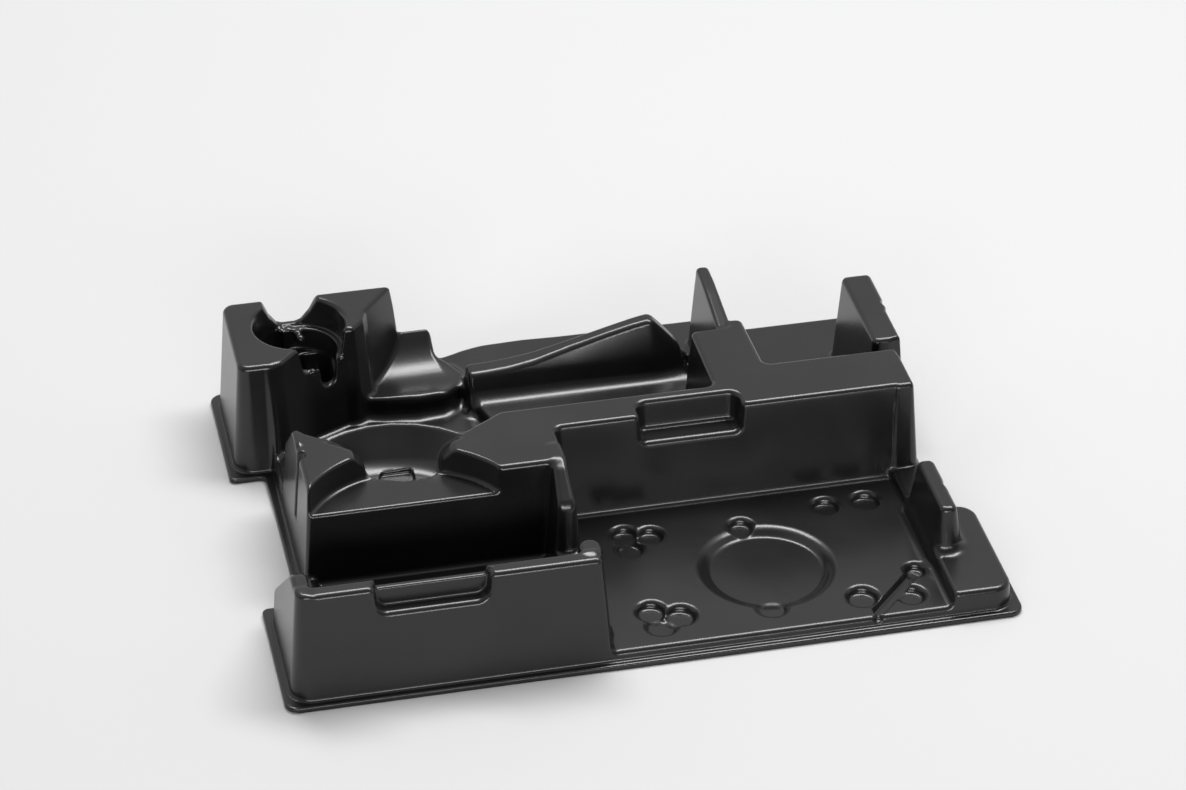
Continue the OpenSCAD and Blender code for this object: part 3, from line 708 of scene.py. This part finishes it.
def settle(points, reach, most):
    # each point moves onto the surface along the slope of the distance, by the given length at most
    way, gap, size = slopeAt(points, reach)
    return points - way * np.clip(gap / size, -most, most)[:, None]


def relaxed(points, quads):
    # each point moves half way to the mean of its neighbours, counted once for each square they share
    total, count = np.zeros_like(points), np.zeros(len(points))
    size = len(points)
    for k in range(4):
        a, b = quads[:, k], quads[:, (k + 1) % 4]
        for axis in range(3):
            total[:, axis] += np.bincount(a, points[b, axis], size) + np.bincount(b, points[a, axis], size)
        count += np.bincount(a, minlength=size) + np.bincount(b, minlength=size)
    return points * 0.5 + total / np.maximum(count, 1)[:, None] * 0.5


def meshOf(name, points, faces):
    # a mesh from an array of points and an array of faces with the same number of corners each
    mesh = bpy.data.meshes.new(name)
    mesh.vertices.add(len(points))
    mesh.vertices.foreach_set("co", np.ascontiguousarray(points, dtype=np.float32).ravel())
    width = faces.shape[1]
    mesh.loops.add(faces.size)
    mesh.loops.foreach_set("vertex_index", faces.astype(np.int32).ravel())
    mesh.polygons.add(len(faces))
    mesh.polygons.foreach_set("loop_start", np.arange(0, faces.size, width, dtype=np.int32))
    mesh.update(calc_edges=True)
    mesh.validate()
    return mesh


def thinned(piece, mesh, quadCount):
    # the same object with its mesh brought down to the triangles that are kept
    thin = piece.modifiers.new("thin", "DECIMATE")
    thin.ratio = min(1.0, form["triangles"] / (2 * quadCount))
    thin.use_collapse_triangulate = True
    done = bpy.data.meshes.new_from_object(piece.evaluated_get(bpy.context.evaluated_depsgraph_get()))
    piece.modifiers.clear()
    piece.data = done
    bpy.data.meshes.remove(mesh)
    done.name = form["name"]
    return done


def makeSheet():
    # net of the distance field, drawn onto the surface, thinned, drawn onto it again, with exact normals
    o = form
    step, reach = o["netStep"], o["reach"]
    halfX, halfY, bottom, top = o["netBox"]
    fromNet, afterRelax, afterThin = o["settle"]
    xs = np.arange(-halfX, halfX + step, step, dtype=np.float32)
    ys = np.arange(-halfY, halfY + step, step, dtype=np.float32)
    zs = np.arange(bottom, top, step, dtype=np.float32)
    outer, inner = insertField(xs[:, None, None], ys[None, :, None], zs[None, None, :], True)
    stage("field " + str(outer.shape))
    layer = int(np.searchsorted(zs, 0)) - 1
    points, quads = twoSkins(outer, inner, np.array([xs[0], ys[0], zs[0]], float), step, layer)
    stage("net " + str(len(quads)))
    points = settle(points, reach, fromNet)
    points = settle(relaxed(points, quads), reach, afterRelax)
    points[:, 2] = np.maximum(points[:, 2], 0)
    stage("settled")
    mesh = meshOf(o["name"], points, quads)
    piece = bpy.data.objects.new(o["name"], mesh)
    scene.collection.objects.link(piece)
    done = thinned(piece, mesh, len(quads))
    stage("thinned " + str(len(done.polygons)))
    co = np.empty(len(done.vertices) * 3, np.float32)
    done.vertices.foreach_get("co", co)
    co = settle(co.reshape(-1, 3).astype(float), reach, afterThin)
    co[:, 2] = np.maximum(co[:, 2], 0)
    normals = slopeAt(co, reach)[0]
    done.vertices.foreach_set("co", (co / 1000).astype(np.float32).ravel())
    done.polygons.foreach_set("use_smooth", np.ones(len(done.polygons), bool))
    done.update()
    done.normals_split_custom_set_from_vertices(normals.astype(np.float32))
    stage("placed")
    return piece


sheet = makeSheet()
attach(sheet, "root")
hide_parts("insert")


# Materials

class Value:
    # A shader socket, joined with others and with numbers by the usual signs
    def __init__(self, nodes, socket):
        self.nodes, self.socket = nodes, socket

    def math(self, kind, a, b):
        n = self.nodes.add("ShaderNodeMath", {"operation": kind}, {0: a, 1: b})
        return Value(self.nodes, n.outputs[0])

    def __add__(self, other):
        return self.math("ADD", self, other)

    def __radd__(self, other):
        return self.math("ADD", other, self)

    def __mul__(self, other):
        return self.math("MULTIPLY", self, other)

    def __rmul__(self, other):
        return self.math("MULTIPLY", other, self)

    def within(self, low, high, a=0.0, b=1.0):
        # a smooth change from a to b while the value goes from low to high
        n = self.nodes.add("ShaderNodeMapRange", {"interpolation_type": "SMOOTHSTEP"},
                           {0: self, 1: low, 2: high, 3: a, 4: b})
        return Value(self.nodes, n.outputs[0])


class Nodes:
    # The nodes of a material or of the world
    def __init__(self, owner):
        self.owner = owner
        owner.use_nodes = True
        self.tree = owner.node_tree
        self.tree.nodes.clear()

    def add(self, kind, settings, sockets):
        n = self.tree.nodes.new(kind)
        for key, item in settings.items():
            setattr(n, key, item)
        for key, item in sockets.items():
            if isinstance(item, Value):
                self.tree.links.new(item.socket, n.inputs[key])
            elif hasattr(item, "is_output"):
                self.tree.links.new(item, n.inputs[key])
            else:
                n.inputs[key].default_value = item
        return n

    def noise(self, where, scale, detail, rough):
        n = self.add("ShaderNodeTexNoise", {},
                     {"Vector": where, "Scale": scale, "Detail": detail, "Roughness": rough})
        return Value(self, n.outputs["Fac"])


# noises as (scale, detail, roughness): fine grain, orange peel and wide clouds; turns as the noise's values
# where a smooth change begins and ends
finish = {
    "grain": (1500.0, 3.0, 0.6), "peel": (260.0, 2.0, 0.5), "cloud": (22.0, 3.0, 0.55),
    "bump": 0.08, "bumpDeep": 0.00012, "bumpPeel": 0.7, "bumpGrain": 0.3,
    "rough": 0.23, "roughCloud": 0.015, "roughGrain": 0.03, "roughTurn": (0.35, 0.7), "tintTurn": (0.3, 0.75),
    "dark": (0.0062, 0.0062, 0.0066, 1), "light": (0.0086, 0.0086, 0.0091, 1), "ior": 1.49,
}


def sheetMaterial():
    # satin black sheet: peel and grain in the bump, clouds and grain in the roughness, clouds in the tint
    s = finish
    m = Nodes(bpy.data.materials.new("formedBlackSheet"))
    where = m.add("ShaderNodeTexCoord", {}, {}).outputs["Object"]
    grain, peel, cloud = (m.noise(where, *s[name]) for name in ("grain", "peel", "cloud"))
    height = peel * s["bumpPeel"] + grain * s["bumpGrain"]
    bump = m.add("ShaderNodeBump", {}, {"Strength": s["bump"], "Distance": s["bumpDeep"], "Height": height})
    rough = s["rough"] + cloud.within(*s["roughTurn"]) * s["roughCloud"] + grain * s["roughGrain"]
    clouds = cloud.within(*s["tintTurn"])
    tint = m.add("ShaderNodeMix", {"data_type": "RGBA"}, {0: clouds, 6: s["dark"], 7: s["light"]})
    skin = m.add("ShaderNodeBsdfPrincipled", {},
                 {"Base Color": tint.outputs[2], "Roughness": rough, "Normal": bump.outputs[0], "IOR": s["ior"]})
    m.add("ShaderNodeOutputMaterial", {}, {"Surface": skin.outputs[0]})
    return m.owner


sheet.data.materials.clear()
sheet.data.materials.append(sheetMaterial())


# Floor, light and air round the part; lights as (name, place, aim, width, height, power)
studio = {
    "floorHalf": 6, "floorColor": (0.44, 0.44, 0.44, 1), "floorRough": 0.8,
    "turnAt": (-0.55, 0.0), "airFront": 0.15, "airBack": 0.64,
    "lights": [("overhead", (0.45, 0.62, 2.2), (0.05, 0, 0), 2.4, 0.6, 84),
               ("front", (-0.5, -2.9, 1.05), (0, 0, 0), 2.8, 0.5, 68)],
}


def makeFloor():
    # a pale plain square, level with the ground
    h = studio["floorHalf"]
    mesh = bpy.data.meshes.new("floor")
    mesh.from_pydata([(-h, -h, 0), (h, -h, 0), (h, h, 0), (-h, h, 0)], [], [(0, 1, 2, 3)])
    floor = bpy.data.objects.new("floor", mesh)
    scene.collection.objects.link(floor)
    m = Nodes(bpy.data.materials.new("paleFloor"))
    skin = m.add("ShaderNodeBsdfPrincipled", {},
                 {"Base Color": studio["floorColor"], "Roughness": studio["floorRough"]})
    m.add("ShaderNodeOutputMaterial", {}, {"Surface": skin.outputs[0]})
    mesh.materials.append(m.owner)


def softLight(name, place, aim, width, height, power):
    # a rectangle of light that faces the aim, with its width level
    data = bpy.data.lights.new(name, "AREA")
    data.shape, data.size, data.size_y, data.energy = "RECTANGLE", width, height, power
    lamp = bpy.data.objects.new(name, data)
    scene.collection.objects.link(lamp)
    lamp.location = place
    way = np.array(aim, float) - np.array(place, float)
    way /= np.linalg.norm(way)
    lamp.rotation_euler = (math.acos(-way[2]), 0, math.atan2(way[1], way[0]) - math.pi / 2)


def makeAir():
    # bright at the back and the sides, dim behind the camera
    w = Nodes(bpy.data.worlds.new("studio"))
    way = w.add("ShaderNodeTexCoord", {}, {}).outputs["Generated"]
    toBack = Value(w, w.add("ShaderNodeSeparateXYZ", {}, {0: way}).outputs[1])
    bright = toBack.within(*studio["turnAt"], studio["airFront"], studio["airBack"])
    sky = w.add("ShaderNodeBackground", {}, {"Color": (1, 1, 1, 1), "Strength": bright})
    w.add("ShaderNodeOutputWorld", {}, {"Surface": sky.outputs[0]})
    scene.world = w.owner


makeFloor()
makeAir()
for light in studio["lights"]:
    softLight(*light)
scene.view_settings.view_transform = "Standard"
scene.view_settings.look = "None"
stage("lit")
